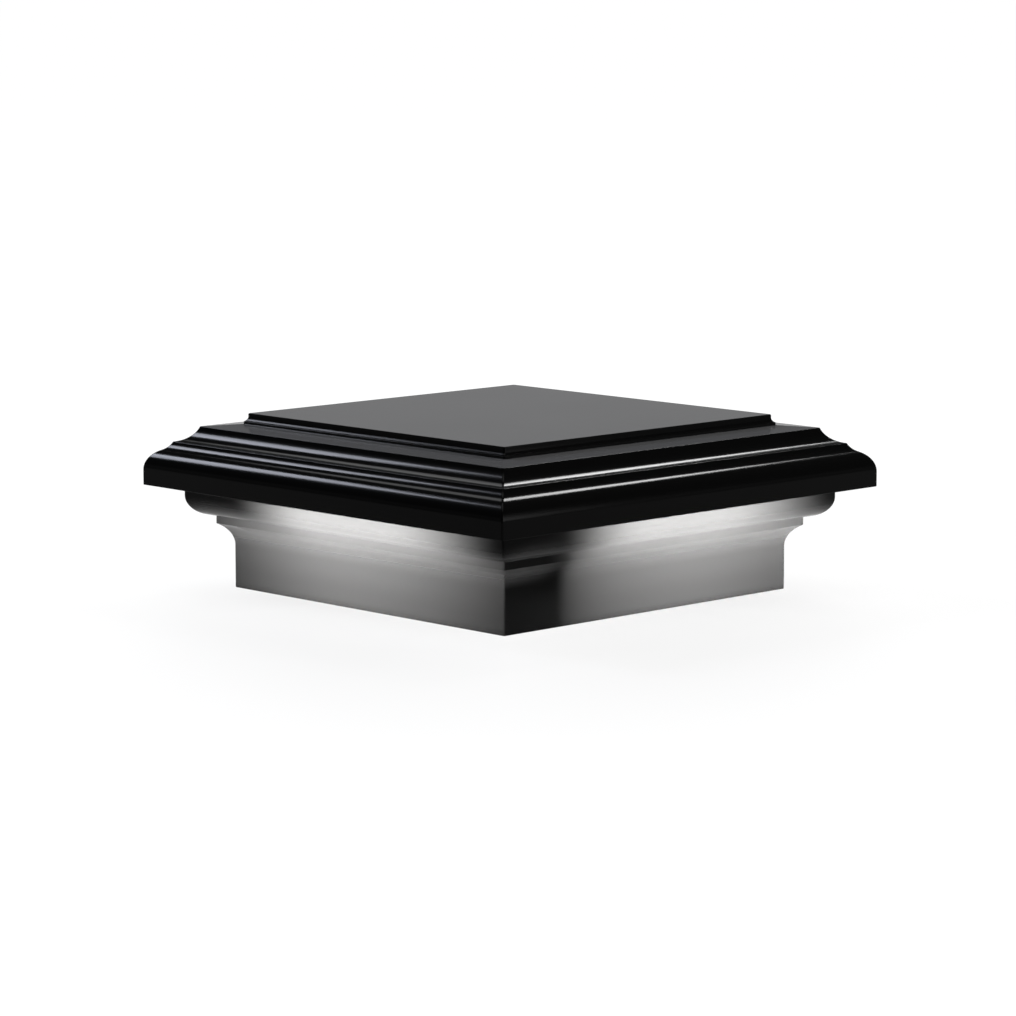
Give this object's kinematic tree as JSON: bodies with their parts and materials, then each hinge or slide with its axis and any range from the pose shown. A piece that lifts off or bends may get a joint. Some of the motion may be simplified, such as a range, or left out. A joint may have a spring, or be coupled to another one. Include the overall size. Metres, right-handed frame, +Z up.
{
  "type": "deck post cap light",
  "caption": "Square stepped cap light for a deck post, gloss black, with a moulded skirt lit from light bars hidden under the overhanging lid.",
  "frame": {"origin": "centre of the skirt's bottom edge, on the plane that edge lies in", "axes": "+Z up towards the lid's top panel; X and Y are square to the four sides, and -Y is the front"},
  "size_m": [0.1432, 0.1432, 0.0486],
  "materials": {
    "black_coat": "gloss black powder coat on die-cast aluminium",
    "tray_plastic": "black moulded plastic, fine grain",
    "foam": "closed-cell foam",
    "sealant": "cured silicone",
    "stainless": "stainless",
    "spring_steel": "spring temper stainless",
    "nylon": "black nylon",
    "gland_rubber": "soft rubber",
    "circuit_board": "green solder mask on glass epoxy",
    "brass": "turned",
    "ferrite": "moulded ferrite",
    "capacitor_can": "drawn can",
    "chip_plastic": "moulded epoxy",
    "resistor": "thick film on alumina",
    "terminal_plastic": "moulded",
    "socket_plastic": "moulded nylon",
    "red_insulation": "smooth insulation",
    "black_insulation": "smooth insulation",
    "light_board": "white solder mask on aluminium core",
    "light_chip": "lit, neutral white",
    "frosted_lens": "frosted, lit from above"
  },
  "bodies": {
    "skirt_body": {"skirt": "black_coat", "neck_seal": "foam"},
    "head": {"lid": "black_coat", "light_tray": "tray_plastic", "tray_sealant": "sealant", "tray_screws": "stainless", "board_screws": "stainless", "clip_screws": "stainless", "gland_body": "nylon", "gland_nut": "nylon", "gland_cap": "nylon", "gland_insert": "gland_rubber", "driver_board": "circuit_board", "driver_standoffs": "brass", "driver_screws": "stainless", "driver_inductor": "ferrite", "driver_capacitor": "capacitor_can", "driver_regulator": "chip_plastic", "driver_rectifier": "chip_plastic", "driver_resistors": "resistor", "input_terminal": "terminal_plastic", "output_socket": "socket_plastic", "red_wires": "red_insulation", "black_wires": "black_insulation", "light_board_front": "light_board", "light_chips_front": "light_chip", "lens_front": "frosted_lens", "clip_front": "spring_steel", "light_board_right": "light_board", "light_chips_right": "light_chip", "lens_right": "frosted_lens", "clip_right": "spring_steel", "light_board_back": "light_board", "light_chips_back": "light_chip", "lens_back": "frosted_lens", "clip_back": "spring_steel", "light_board_left": "light_board", "light_chips_left": "light_chip", "lens_left": "frosted_lens", "clip_left": "spring_steel"}
  },
  "joints": [
    {"name": "head_lift", "type": "slide", "parent": "skirt_body", "child": "head", "axis": [0, 0, 1], "range_m": [0, 0.04]}
  ]
}
